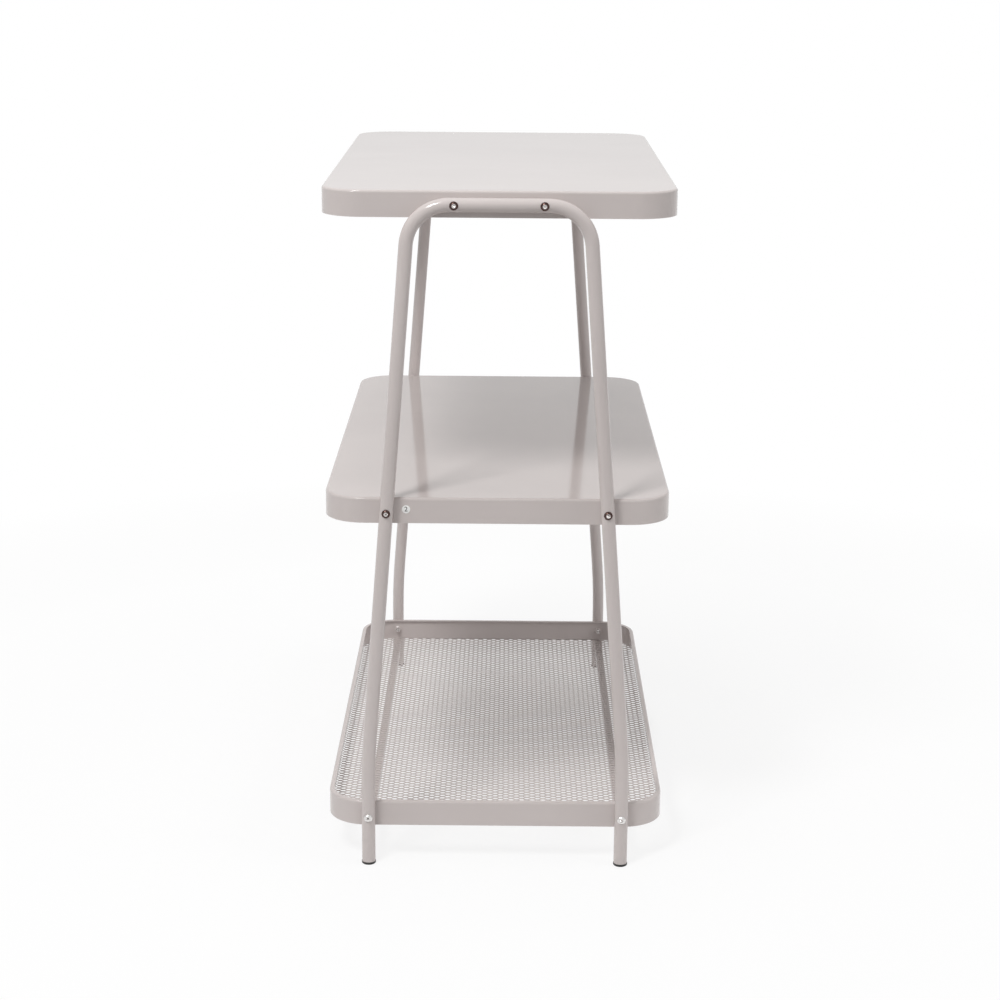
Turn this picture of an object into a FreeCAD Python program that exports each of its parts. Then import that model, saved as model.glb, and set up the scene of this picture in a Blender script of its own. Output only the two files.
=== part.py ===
import FreeCAD, Part
import math
import os
import Sketcher
from FreeCAD import Vector

# Three-tier shelf: two sheet-steel trays and a mesh basket, screwed between two bent tube hoops.
# X runs across the shelf, Y along it and Z up, with the origin on the floor under its middle.

SIZES = {
    # Plan shape that all three tiers share
    "tray_width": 400.0,
    "tray_length": 690.0,
    "corner_radius": 47.0,
    # Heights of the three tiers above the floor
    "top_height": 800.0,
    "middle_height": 449.0,
    "basket_height": 75.0,
    # Pressed trays
    "skirt_height": 30.0,
    "sheet_thickness": 1.2,
    "bend_radius": 1.8,
    # Basket: upright rim, mesh floor and the two bars under it
    "rim_height": 30.0,
    "rim_thickness": 1.6,
    "rim_chamfer_share": 0.3,
    "mesh_thickness": 1.4,
    "mesh_border": 4.0,
    "cell_length": 56.0,
    "cell_width": 36.0,
    "gap_length_share": 0.76,
    "gap_width_share": 0.62,
    "gap_flat_share": 0.3,
    "smallest_gap_share": 0.3,
    "bar_size": 10.0,
    "bar_wall": 1.0,
    # Tube hoops: an upside-down U whose legs lean out and turn upright near the floor
    "tube_diameter": 16.0,
    "tube_wall": 1.2,
    "foot_margin": 3.0,
    "leg_lean": 50.0,
    "kink_height": 128.0,
    "kink_radius": 900.0,
    "hoop_bend_radius": 48.0,
    # Foot caps pushed into the tube ends
    "cap_diameter": 16.8,
    "cap_height": 3.0,
    "cap_chamfer": 0.8,
    "stem_length": 20.0,
    "stem_diameter": 11.0,
    "rib_height": 2.0,
    "rib_clearance": 0.1,
    # Button-head screws and their weld nuts
    "screw_diameter": 5.0,
    "thread_clearance": 0.05,
    "hole_clearance": 0.25,
    "thread_spare": 5.0,
    "head_diameter": 10.0,
    "head_height": 2.8,
    "head_flat": 0.8,
    "socket_width": 3.0,
    "socket_depth": 1.6,
    "nut_width": 8.0,
    "nut_height": 4.0,
    "top_screw_inset": 50.0,
}

# Places worked out from the sizes, each written once
PLACES = {
    "foot_x": "sizes.tray_width / 2 - sizes.corner_radius - sizes.foot_margin",
    "top_corner_x": "layout.foot_x - sizes.leg_lean",
    "hoop_y": "sizes.tray_length / 2 + sizes.tube_diameter / 2",
    "top_screw_z": "sizes.top_height - sizes.skirt_height / 2",
    "middle_screw_z": "sizes.middle_height - sizes.skirt_height / 2",
    "basket_screw_z": "sizes.basket_height - sizes.rim_height / 2",
    "basket_floor_z": "sizes.basket_height - sizes.rim_height",
    "top_screw_x": "layout.top_corner_x - sizes.top_screw_inset",
    "middle_screw_x": "layout.foot_x - sizes.leg_lean * (layout.middle_screw_z - sizes.kink_height)"
                      " / (layout.top_screw_z - sizes.kink_height)",
    "basket_screw_x": "layout.foot_x",
    "bore_radius": "sizes.tube_diameter / 2 - sizes.tube_wall",
    "hole_radius": "sizes.screw_diameter / 2 + sizes.hole_clearance",
    "screw_length": "sizes.tube_diameter + sizes.nut_height + sizes.thread_spare",
}

doc = FreeCAD.newDocument("three_tier_shelf")

sizes = doc.addObject("Spreadsheet::Sheet", "sizes")
for row, (name, number) in enumerate(SIZES.items(), start=1):
    sizes.set(f"A{row}", name)
    sizes.set(f"B{row}", str(number))
    sizes.setAlias(f"B{row}", name)
doc.recompute()

layout = doc.addObject("App::VarSet", "layout")
for name, formula in PLACES.items():
    layout.addProperty("App::PropertyFloat", name)
    layout.setExpression(name, formula)
    doc.recompute()

PIECES = []


def new_body(label):
    body = doc.addObject("PartDesign::Body", label)
    body.Label = label
    PIECES.append(body)
    return body


def place(piece, x="0", y="0", z="0"):
    """Ties the three coordinates of a piece's Placement to expressions."""
    piece.setExpression("Placement.Base.x", x)
    piece.setExpression("Placement.Base.y", y)
    piece.setExpression("Placement.Base.z", z)


def new_sketch(body, name, plane="XY_Plane"):
    """Adds a sketch on one of the body's own origin planes."""
    sketch = body.newObject("Sketcher::SketchObject", name)
    support = next(item for item in body.Origin.OriginFeatures if item.Role == plane)
    sketch.AttachmentSupport = [(support, "")]
    sketch.MapMode = "FlatFace"
    return sketch


def origin_axis(body, role):
    return next(item for item in body.Origin.OriginFeatures if item.Role == role)


def constrain(sketch, *terms):
    return sketch.addConstraint(Sketcher.Constraint(*terms))


def bound(sketch, formula, *terms):
    """Adds a dimension to a sketch and ties it to an expression."""
    number = constrain(sketch, *terms)
    sketch.setExpression(f"Constraints[{number}]", formula)
    return number


def across_from_origin(sketch, formula, item, point, distance):
    """Sets how far a point lies to the right of the sketch's origin."""
    bound(sketch, formula, "DistanceX", -1, 1, item, point, distance)


def up_from_origin(sketch, formula, item, point, distance):
    """Sets how far a point lies above the sketch's origin."""
    bound(sketch, formula, "DistanceY", -1, 1, item, point, distance)


def put_on_level_axis(sketch, item, point):
    constrain(sketch, "PointOnObject", item, point, -1)


def mirror_points(sketch, right, right_point, left, left_point):
    """Makes two points mirror each other across the sketch's upright axis."""
    constrain(sketch, "Symmetric", right, right_point, left, left_point, -2)


# Two heights match when they differ by less than this share of the sheet's thickness
MATCH_SHARE = 0.01


def centred_rectangle(sketch, width_formula, length_formula, width, length):
    """A rectangle round the sketch's origin, drawn at its size and tied to two expressions."""
    half = Vector(width / 2, length / 2)
    corners = [Vector(sx * half.x, sy * half.y) for sx, sy in ((-1, -1), (1, -1), (1, 1), (-1, 1))]
    sides = [sketch.addGeometry(Part.LineSegment(corners[n], corners[(n + 1) % len(corners)]))
             for n in range(len(corners))]
    for side, after in zip(sides, sides[1:] + sides[:1]):
        constrain(sketch, "Coincident", side, 2, after, 1)
    for level in sides[0::2]:
        constrain(sketch, "Horizontal", level)
    for upright in sides[1::2]:
        constrain(sketch, "Vertical", upright)
    constrain(sketch, "Symmetric", sides[0], 1, sides[1], 2, -1, 1)
    bound(sketch, width_formula, "DistanceX", sides[0], 1, sides[0], 2, width)
    bound(sketch, length_formula, "DistanceY", sides[1], 1, sides[1], 2, length)


def hole_pair(sketch, x_formula, z_formula, x, z):
    """Two screw holes, one each side of the sketch's upright axis."""
    radius = layout.hole_radius
    right, left = [sketch.addGeometry(Part.Circle(Vector(side * x, z), Vector(0, 0, 1), radius))
                   for side in (1, -1)]
    bound(sketch, "layout.hole_radius", "Radius", right, radius)
    constrain(sketch, "Equal", right, left)
    mirror_points(sketch, right, 3, left, 3)
    across_from_origin(sketch, x_formula, right, 3, x)
    up_from_origin(sketch, z_formula, right, 3, z)


def cut_through(body, sketch, name):
    """Cuts a sketch through the whole body, both ways, and checks that it took material away."""
    doc.recompute()
    before = body.Shape.Volume
    pocket = body.newObject("PartDesign::Pocket", name)
    pocket.Profile = sketch
    pocket.Type = "ThroughAll"
    pocket.SideType = "Symmetric"
    doc.recompute()
    if body.Shape.Volume >= before:
        raise RuntimeError(f"{name} cut nothing")


def edges_where(shape, wanted):
    return [f"Edge{n}" for n, edge in enumerate(shape.Edges, start=1) if wanted(edge.BoundBox)]


def faces_where(shape, wanted):
    return [f"Face{n}" for n, face in enumerate(shape.Faces, start=1) if wanted(face.BoundBox)]


def is_upright(box):
    return box.ZLength > box.XLength + box.YLength


def lies_at(height):
    """Picks the edges or faces that lie flat at one height of a shape."""
    near = sizes.sheet_thickness * MATCH_SHARE
    return lambda box: abs(box.ZMin - height) < near and abs(box.ZMax - height) < near


def rounded_block(body, height_formula):
    """The plan shape of a tier as a solid block: a rectangle with its four corners rounded."""
    plan = new_sketch(body, "plan")
    centred_rectangle(plan, "sizes.tray_width", "sizes.tray_length", sizes.tray_width, sizes.tray_length)
    block = body.newObject("PartDesign::Pad", "block")
    block.Profile = plan
    block.setExpression("Length", height_formula)
    doc.recompute()
    corners = body.newObject("PartDesign::Fillet", "corner_rounds")
    corners.Base = (block, edges_where(block.Shape, is_upright))
    corners.setExpression("Radius", "sizes.corner_radius")
    doc.recompute()
    return corners


def hollow_out(body, solid, open_faces, wall_formula):
    """Thins a block to its sheet, inwards from the outside, with the named faces left open."""
    before = solid.Shape.Volume
    shell = body.newObject("PartDesign::Thickness", "sheet")
    shell.Base = (solid, open_faces)
    shell.Reversed = True
    shell.setExpression("Value", wall_formula)
    doc.recompute()
    if not 0 < shell.Shape.Volume < before:
        raise RuntimeError(f"{body.Label} was not hollowed")
    return shell


def make_tray(label, height_formula, screw_formula, screw_x):
    """A tray pressed from one sheet: flat top, bent edge and a skirt that is open below."""
    body = new_body(label)
    rounds = rounded_block(body, "sizes.skirt_height")
    bend = body.newObject("PartDesign::Fillet", "edge_bend")
    bend.Base = (rounds, edges_where(rounds.Shape, lies_at(sizes.skirt_height)))
    bend.setExpression("Radius", "sizes.bend_radius + sizes.sheet_thickness")
    doc.recompute()
    hollow_out(body, bend, faces_where(bend.Shape, lies_at(0)), "sizes.sheet_thickness")
    holes = new_sketch(body, "screw_holes", "XZ_Plane")
    hole_pair(holes, screw_formula, "sizes.skirt_height / 2", screw_x, sizes.skirt_height / 2)
    cut_through(body, holes, "screw_hole_cut")
    place(body, z=f"{height_formula} - sizes.skirt_height")


def make_basket_rim():
    """The basket's upright band, bent from strip, with its upper edges broken."""
    body = new_body("basket_rim")
    rounds = rounded_block(body, "sizes.rim_height")
    open_faces = faces_where(rounds.Shape, lies_at(0)) + faces_where(rounds.Shape, lies_at(sizes.rim_height))
    band = hollow_out(body, rounds, open_faces, "sizes.rim_thickness")
    lip = body.newObject("PartDesign::Chamfer", "lip_chamfer")
    lip.Base = (band, edges_where(band.Shape, lies_at(sizes.rim_height)))
    lip.setExpression("Size", "sizes.rim_thickness * sizes.rim_chamfer_share")
    doc.recompute()
    holes = new_sketch(body, "screw_holes", "XZ_Plane")
    hole_pair(holes, "layout.basket_screw_x", "sizes.rim_height / 2", layout.basket_screw_x, sizes.rim_height / 2)
    cut_through(body, holes, "screw_hole_cut")
    place(body, z="layout.basket_floor_z")


def rounded_outline(half_width, half_length, radius):
    """A closed wire of four straight sides and four corner arcs, round the origin."""
    arcs = []
    for quarter, (sx, sy) in enumerate([(1, 1), (-1, 1), (-1, -1), (1, -1)]):
        centre = Vector(sx * (half_width - radius), sy * (half_length - radius))
        turns = [math.pi / 4 * (2 * quarter + part) for part in range(3)]
        arcs.append([centre + Vector(math.cos(turn), math.sin(turn)) * radius for turn in turns])
    edges = []
    for points, after in zip(arcs, arcs[1:] + arcs[:1]):
        edges.append(Part.Arc(*points).toShape())
        edges.append(Part.LineSegment(points[-1], after[0]).toShape())
    return Part.Wire(edges)


def mesh_gaps(field):
    """Six-sided gaps in staggered rows, as an expanded sheet has, trimmed to the given face."""
    pitch_x = sizes.cell_length
    pitch_y = sizes.cell_width / 2
    half_gap_x = pitch_x * sizes.gap_length_share / 2
    half_gap_y = sizes.cell_width * sizes.gap_width_share / 2
    half_flat = half_gap_x * sizes.gap_flat_share
    outline = [(half_gap_x, 0), (half_flat, half_gap_y), (-half_flat, half_gap_y),
               (-half_gap_x, 0), (-half_flat, -half_gap_y), (half_flat, -half_gap_y)]
    box = field.BoundBox
    columns = math.ceil(box.XMax / pitch_x) + 1
    rows = math.ceil(box.YMax / pitch_y) + 1
    whole_gap = Part.Face(Part.makePolygon([Vector(x, y) for x, y in outline + outline[:1]])).Area
    gaps = []
    for row in range(-rows, rows + 1):
        shift = pitch_x / 2 if row % 2 else 0
        for column in range(-columns, columns + 1):
            middle = Vector(column * pitch_x + shift, row * pitch_y)
            corners = [middle + Vector(x, y) for x, y in outline]
            gap = Part.Face(Part.makePolygon(corners + corners[:1]))
            if gap.BoundBox.XMin > box.XMax or gap.BoundBox.XMax < box.XMin:
                continue
            for piece in gap.common(field).Faces:
                if piece.Area > whole_gap * sizes.smallest_gap_share:
                    gaps.append(piece.OuterWire)
    return gaps


def make_mesh_floor():
    """The basket's floor: one expanded-metal sheet that fits inside the rim."""
    half_width = sizes.tray_width / 2 - sizes.rim_thickness
    half_length = sizes.tray_length / 2 - sizes.rim_thickness
    radius = sizes.corner_radius - sizes.rim_thickness
    border = sizes.mesh_border
    sheet = rounded_outline(half_width, half_length, radius)
    field = Part.Face(rounded_outline(half_width - border, half_length - border, radius - border))
    gaps = mesh_gaps(field)
    print("gaps in the mesh", len(gaps))
    floor = doc.addObject("Part::Feature", "mesh_floor")
    floor.Label = "mesh_floor"
    holed_face = Part.makeFace([sheet] + gaps, "Part::FaceMakerBullseye")
    floor.Shape = holed_face.extrude(Vector(0, 0, sizes.mesh_thickness))
    place(floor, z="layout.basket_floor_z")
    PIECES.append(floor)


def make_support_bar(label, side):
    """A square tube under the mesh, along the whole basket and in line with the legs."""
    body = new_body(label)
    section = new_sketch(body, "section", "XZ_Plane")
    bore = sizes.bar_size - 2 * sizes.bar_wall
    bore_formula = "sizes.bar_size - 2 * sizes.bar_wall"
    centred_rectangle(section, "sizes.bar_size", "sizes.bar_size", sizes.bar_size, sizes.bar_size)
    centred_rectangle(section, bore_formula, bore_formula, bore, bore)
    bar = body.newObject("PartDesign::Pad", "bar")
    bar.Profile = section
    bar.SideType = "Symmetric"
    bar.setExpression("Length", "sizes.tray_length")
    doc.recompute()
    place(body, x=f"{side} * layout.foot_x", z="layout.basket_floor_z - sizes.bar_size / 2")


def hoop_points(foot_x, corner_x, corner_z, kink_z):
    """End points and mid points of the right half of a hoop's centre line, from the foot up."""
    kink = Vector(foot_x, kink_z)
    corner = Vector(corner_x, corner_z)
    lean = math.atan2(foot_x - corner_x, corner_z - kink_z)
    along = Vector(-math.sin(lean), math.cos(lean))
    kink_reach = sizes.kink_radius * math.tan(lean / 2)
    kink_middle = kink + Vector(-1, -math.tan(lean / 2)).normalize() * \
        (sizes.kink_radius / math.cos(lean / 2) - sizes.kink_radius)
    bend_turn = math.pi / 2 - lean
    bend_reach = sizes.hoop_bend_radius * math.tan(bend_turn / 2)
    to_centre = (Vector(-1, 0) - along).normalize()
    bend_middle = corner + to_centre * \
        (sizes.hoop_bend_radius / math.cos(bend_turn / 2) - sizes.hoop_bend_radius)
    return {
        "foot": Vector(foot_x, 0),
        "kink": kink,
        "corner": corner,
        "kink_start": kink - Vector(0, kink_reach),
        "kink_middle": kink_middle,
        "kink_end": kink + along * kink_reach,
        "bend_start": corner - along * bend_reach,
        "bend_middle": bend_middle,
        "bend_end": corner - Vector(bend_reach, 0),
    }


def draw_hoop_path(sketch):
    """The hoop's centre line: upright foot, gentle kink, leaning leg, bend, level top, and back down."""
    corner_z = layout.top_screw_z - sizes.cap_height
    kink_z = sizes.kink_height - sizes.cap_height
    right = hoop_points(layout.foot_x, layout.top_corner_x, corner_z, kink_z)
    left = {name: Vector(-point.x, point.y) for name, point in right.items()}

    def line(start, end):
        return sketch.addGeometry(Part.LineSegment(start, end))

    def arc(start, middle, end):
        return sketch.addGeometry(Part.Arc(start, middle, end))

    chain = [
        line(right["foot"], right["kink_start"]),
        arc(right["kink_start"], right["kink_middle"], right["kink_end"]),
        line(right["kink_end"], right["bend_start"]),
        arc(right["bend_start"], right["bend_middle"], right["bend_end"]),
        line(right["bend_end"], left["bend_end"]),
        arc(left["bend_end"], left["bend_middle"], left["bend_start"]),
        line(left["bend_start"], left["kink_end"]),
        arc(left["kink_end"], left["kink_middle"], left["kink_start"]),
        line(left["kink_start"], left["foot"]),
    ]
    for edge, after in zip(chain, chain[1:]):
        constrain(sketch, "Tangent", edge, 2, after, 1)
    right_foot, right_kink, right_lean, right_bend, level, left_bend, left_lean, left_kink, left_foot = chain
    constrain(sketch, "Vertical", right_foot)
    constrain(sketch, "Vertical", left_foot)
    constrain(sketch, "Equal", right_kink, left_kink)
    constrain(sketch, "Equal", right_bend, left_bend)
    constrain(sketch, "Equal", right_foot, left_foot)
    mirror_points(sketch, right_foot, 1, left_foot, 2)
    mirror_points(sketch, level, 1, level, 2)
    put_on_level_axis(sketch, right_foot, 1)
    across_from_origin(sketch, "layout.foot_x", right_foot, 1, layout.foot_x)
    up_from_origin(sketch, "layout.top_screw_z - sizes.cap_height", level, 1, corner_z)
    bound(sketch, "sizes.kink_radius", "Radius", right_kink, sizes.kink_radius)
    bound(sketch, "sizes.hoop_bend_radius", "Radius", right_bend, sizes.hoop_bend_radius)
    kink_mark = sketch.addGeometry(Part.Point(right["kink"]), True)
    corner_mark = sketch.addGeometry(Part.Point(right["corner"]), True)
    constrain(sketch, "PointOnObject", kink_mark, 1, right_foot)
    constrain(sketch, "PointOnObject", kink_mark, 1, right_lean)
    constrain(sketch, "PointOnObject", corner_mark, 1, right_lean)
    constrain(sketch, "PointOnObject", corner_mark, 1, level)
    up_from_origin(sketch, "sizes.kink_height - sizes.cap_height", kink_mark, 1, kink_z)
    across_from_origin(sketch, "layout.top_corner_x", corner_mark, 1, layout.top_corner_x)


def make_hoop(label, side):
    """One round tube bent to an upside-down U, with the six screw holes drilled through it."""
    body = new_body(label)
    path = new_sketch(body, "centre_line", "XZ_Plane")
    draw_hoop_path(path)
    ring = new_sketch(body, "tube_section")
    outer, inner = [ring.addGeometry(Part.Circle(Vector(layout.foot_x, 0), Vector(0, 0, 1), radius))
                    for radius in (sizes.tube_diameter / 2, layout.bore_radius)]
    constrain(ring, "Coincident", outer, 3, inner, 3)
    put_on_level_axis(ring, outer, 3)
    across_from_origin(ring, "layout.foot_x", outer, 3, layout.foot_x)
    bound(ring, "sizes.tube_diameter / 2", "Radius", outer, sizes.tube_diameter / 2)
    bound(ring, "layout.bore_radius", "Radius", inner, layout.bore_radius)
    doc.recompute()
    tube = body.newObject("PartDesign::AdditivePipe", "bent_tube")
    tube.Profile = ring
    tube.Spine = (path, [f"Edge{n}" for n in range(1, len(path.Shape.Edges) + 1)])
    doc.recompute()
    holes = new_sketch(body, "screw_holes", "XZ_Plane")
    for level in ("top", "middle", "basket"):
        x = getattr(layout, f"{level}_screw_x")
        z = getattr(layout, f"{level}_screw_z") - sizes.cap_height
        hole_pair(holes, f"layout.{level}_screw_x", f"layout.{level}_screw_z - sizes.cap_height", x, z)
    cut_through(body, holes, "screw_hole_cut")
    place(body, y=f"{side} * layout.hoop_y", z="sizes.cap_height")


def make_foot_cap(label, side_x, side_y):
    """A plastic insert: a flange that closes the tube's end, and a ribbed stem inside it."""
    body = new_body(label)
    flange = body.newObject("PartDesign::AdditiveCylinder", "flange")
    flange.setExpression("Radius", "sizes.cap_diameter / 2")
    flange.setExpression("Height", "sizes.cap_height")
    doc.recompute()
    edge = body.newObject("PartDesign::Chamfer", "flange_edge")
    edge.Base = (flange, edges_where(flange.Shape, lies_at(0)))
    edge.setExpression("Size", "sizes.cap_chamfer")
    stem = body.newObject("PartDesign::AdditiveCylinder", "stem")
    stem.setExpression("Radius", "sizes.stem_diameter / 2")
    stem.setExpression("Height", "sizes.cap_height + sizes.stem_length")
    doc.recompute()
    rib = body.newObject("PartDesign::AdditiveCone", "rib")
    rib.setExpression("Radius1", "layout.bore_radius - sizes.rib_clearance")
    rib.setExpression("Radius2", "sizes.stem_diameter / 2")
    rib.setExpression("Height", "sizes.rib_height")
    rib.setExpression("Placement.Base.z", "sizes.cap_height + sizes.rib_height")
    doc.recompute()
    ribs = body.newObject("PartDesign::LinearPattern", "ribs")
    ribs.Originals = [rib]
    ribs.Direction = (origin_axis(body, "Z_Axis"), [""])
    ribs.setExpression("Length", "sizes.stem_length - 3 * sizes.rib_height")
    ribs.Occurrences = 2
    body.Tip = ribs
    doc.recompute()
    place(body, x=f"{side_x} * layout.foot_x", y=f"{side_y} * layout.hoop_y")


def repeat_across(body, spacing_formula):
    """Copies a finished fastener to the other side of the shelf."""
    pair = body.newObject("PartDesign::LinearPattern", "pair")
    pair.TransformMode = "Whole shape"
    pair.Direction = (origin_axis(body, "X_Axis"), [""])
    pair.setExpression("Length", spacing_formula)
    pair.Occurrences = 2
    body.Tip = pair
    doc.recompute()


def point_inwards(body, side):
    """Turns a fastener so that its own Z axis runs from outside the hoop towards the tier."""
    body.Placement = FreeCAD.Placement(Vector(0, 0, 0), FreeCAD.Rotation(Vector(1, 0, 0), 90 * side))


def make_screws(label, level, side):
    """Two button-head screws: a round head outside the tube and a shank that reaches past the nut."""
    body = new_body(label)
    shank = body.newObject("PartDesign::AdditiveCylinder", "shank")
    shank.setExpression("Radius", "sizes.screw_diameter / 2")
    shank.setExpression("Height", "layout.screw_length")
    doc.recompute()
    head = body.newObject("PartDesign::AdditiveCylinder", "head")
    head.setExpression("Radius", "sizes.head_diameter / 2")
    head.setExpression("Height", "sizes.head_height")
    head.setExpression("Placement.Base.z", "-sizes.head_height")
    doc.recompute()
    crown = body.newObject("PartDesign::Chamfer", "crown")
    crown.Base = (head, edges_where(head.Shape, lies_at(-sizes.head_height)))
    crown.setExpression("Size", "sizes.head_height - sizes.head_flat")
    doc.recompute()
    socket = body.newObject("PartDesign::SubtractivePrism", "hex_socket")
    socket.Polygon = 6
    socket.setExpression("Circumradius", "sizes.socket_width / sqrt(3)")
    socket.setExpression("Height", "sizes.socket_depth")
    socket.setExpression("Placement.Base.z", "-sizes.head_height")
    repeat_across(body, f"2 * layout.{level}_screw_x")
    point_inwards(body, side)
    place(body, x=f"-layout.{level}_screw_x", z=f"layout.{level}_screw_z",
          y=f"{side} * (layout.hoop_y + sizes.tube_diameter / 2)")


def make_nuts(label, level, side, wall_formula):
    """Two hexagon nuts welded to the inner face of the skirt or rim."""
    body = new_body(label)
    nut = body.newObject("PartDesign::AdditivePrism", "hexagon")
    nut.Polygon = 6
    nut.setExpression("Circumradius", "sizes.nut_width / sqrt(3)")
    nut.setExpression("Height", "sizes.nut_height")
    doc.recompute()
    bore = body.newObject("PartDesign::SubtractiveCylinder", "bore")
    bore.setExpression("Radius", "sizes.screw_diameter / 2 + sizes.thread_clearance")
    bore.setExpression("Height", "sizes.nut_height")
    doc.recompute()
    repeat_across(body, f"2 * layout.{level}_screw_x")
    point_inwards(body, side)
    place(body, x=f"-layout.{level}_screw_x", z=f"layout.{level}_screw_z",
          y=f"{side} * (sizes.tray_length / 2 - {wall_formula})")


make_tray("top_tray", "sizes.top_height", "layout.top_screw_x", layout.top_screw_x)
make_tray("middle_tray", "sizes.middle_height", "layout.middle_screw_x", layout.middle_screw_x)
make_basket_rim()
make_mesh_floor()
make_support_bar("support_bar_left", -1)
make_support_bar("support_bar_right", 1)
for end, side_y in (("front", -1), ("rear", 1)):
    make_hoop(f"{end}_hoop", side_y)
    for hand, side_x in (("left", -1), ("right", 1)):
        make_foot_cap(f"foot_cap_{end}_{hand}", side_x, side_y)
    for level, wall in (("top", "sizes.sheet_thickness"), ("middle", "sizes.sheet_thickness"),
                        ("basket", "sizes.rim_thickness")):
        make_screws(f"screws_{level}_{end}", level, side_y)
        make_nuts(f"nuts_{level}_{end}", level, side_y, wall)

doc.recompute()

for item in doc.Objects:
    if "Invalid" in item.State or "Error" in item.State:
        raise RuntimeError(f"{item.Name} failed: {item.State}")
for piece in PIECES:
    if piece.Shape.isNull() or not piece.Shape.isValid():
        raise RuntimeError(f"{piece.Label} has no valid shape")

os.makedirs("parts", exist_ok=True)
for piece in PIECES:
    piece.Shape.exportStep(f"parts/{piece.Label}.step")
    box = piece.Shape.BoundBox
    print(piece.Label, len(piece.Shape.Solids), round(piece.Shape.Volume),
          [round(v, 2) for v in (box.XMin, box.XMax, box.YMin, box.YMax, box.ZMin, box.ZMax)])
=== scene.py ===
"""Three-tier metal shelf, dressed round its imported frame: paint, mesh, screws, caps and a plain studio."""
import math
import bmesh
import bpy
from mathutils import Matrix, Vector
from mathutils.kdtree import KDTree


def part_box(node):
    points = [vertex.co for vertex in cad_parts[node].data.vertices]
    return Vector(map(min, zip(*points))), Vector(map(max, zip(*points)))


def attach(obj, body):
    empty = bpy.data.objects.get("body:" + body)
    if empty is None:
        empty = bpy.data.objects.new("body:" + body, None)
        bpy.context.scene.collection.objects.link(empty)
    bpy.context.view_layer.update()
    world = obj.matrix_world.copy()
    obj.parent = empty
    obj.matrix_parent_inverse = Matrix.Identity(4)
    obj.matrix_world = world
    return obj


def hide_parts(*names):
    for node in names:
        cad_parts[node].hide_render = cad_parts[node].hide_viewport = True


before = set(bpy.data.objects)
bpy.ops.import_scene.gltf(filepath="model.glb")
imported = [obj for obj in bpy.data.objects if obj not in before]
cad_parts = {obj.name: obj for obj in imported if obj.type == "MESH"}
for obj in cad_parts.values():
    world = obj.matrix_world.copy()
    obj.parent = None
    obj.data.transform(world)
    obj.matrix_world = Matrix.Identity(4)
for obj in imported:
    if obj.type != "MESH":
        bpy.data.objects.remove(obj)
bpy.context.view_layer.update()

# View: a long lens a little above the shelf, square on to its front hoop and 2.7 m from its middle, in
# a square picture. The camera is turned by its heading, then tilted down, then rolled slightly.
camera_place = (0.009, -2.705, 1.0826)
heading, tilt, roll = math.radians(0.141), math.radians(90 - 15.064), math.radians(0.449)


def put_in_scene(name, data):
    """Makes an object of a mesh, lamp, camera or text, and puts it in the scene at the origin."""
    thing = bpy.data.objects.new(name, data)
    bpy.context.collection.objects.link(thing)
    return thing


camera = put_in_scene("camera", bpy.data.cameras.new("camera"))
camera.data.lens = 76.9
camera.data.sensor_width = 36.0
camera.data.clip_end = 100.0
camera.matrix_world = (Matrix.Translation(camera_place) @ Matrix.Rotation(heading, 4, "Z")
                       @ Matrix.Rotation(tilt, 4, "X") @ Matrix.Rotation(roll, 4, "Z"))
bpy.context.scene.camera = camera
bpy.context.scene.view_settings.view_transform = "Standard"

# Studio walls: plain white to look at, a little less bright in the gloss of the paint, and much
# weaker as a light, so that the lamps still draw the shelf's shadows.
studio_light, wall_in_gloss = 0.34, 0.85


def set_inputs(node, wires):
    """Joins each named input of a node to a socket, or gives it a value."""
    for name, source in wires.items():
        if isinstance(source, bpy.types.NodeSocket):
            node.id_data.links.new(source, node.inputs[name])
        else:
            node.inputs[name].default_value = source


def add_node(tree, kind, wires=None, **settings):
    """Adds a node, sets its options and its inputs."""
    node = tree.nodes.new(kind)
    for option, choice in settings.items():
        setattr(node, option, choice)
    set_inputs(node, wires or {})
    return node


def maths(tree, operation, *values):
    """One Math node: its inputs are sockets or plain numbers."""
    return add_node(tree, "ShaderNodeMath", dict(enumerate(values)), operation=operation).outputs[0]


def stretch(tree, value, low, high, new_low, new_high):
    """Maps one range of a value to another, held at its ends."""
    return add_node(tree, "ShaderNodeMapRange", {"Value": value, "From Min": low, "From Max": high,
                                                 "To Min": new_low, "To Max": new_high}).outputs["Result"]


def seen_straight(tree):
    """1 for what the camera sees, also in a mirror or through glass, and 0 for scattered light."""
    path = add_node(tree, "ShaderNodeLightPath").outputs
    return maths(tree, "MAXIMUM", maths(tree, "MAXIMUM", path["Is Camera Ray"], path["Is Glossy Ray"]),
                 path["Is Transmission Ray"])


studio = bpy.data.worlds.new("studio")
studio.use_nodes = True
bpy.context.scene.world = studio
tree = studio.node_tree
in_gloss = add_node(tree, "ShaderNodeLightPath").outputs["Is Glossy Ray"]
wall_white = stretch(tree, in_gloss, 0.0, 1.0, 1.0, wall_in_gloss)
strength = add_node(tree, "ShaderNodeMix", {0: seen_straight(tree), 2: studio_light, 3: wall_white})
set_inputs(tree.nodes["Background"], {"Color": (1, 1, 1, 1), "Strength": strength.outputs[0]})

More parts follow.
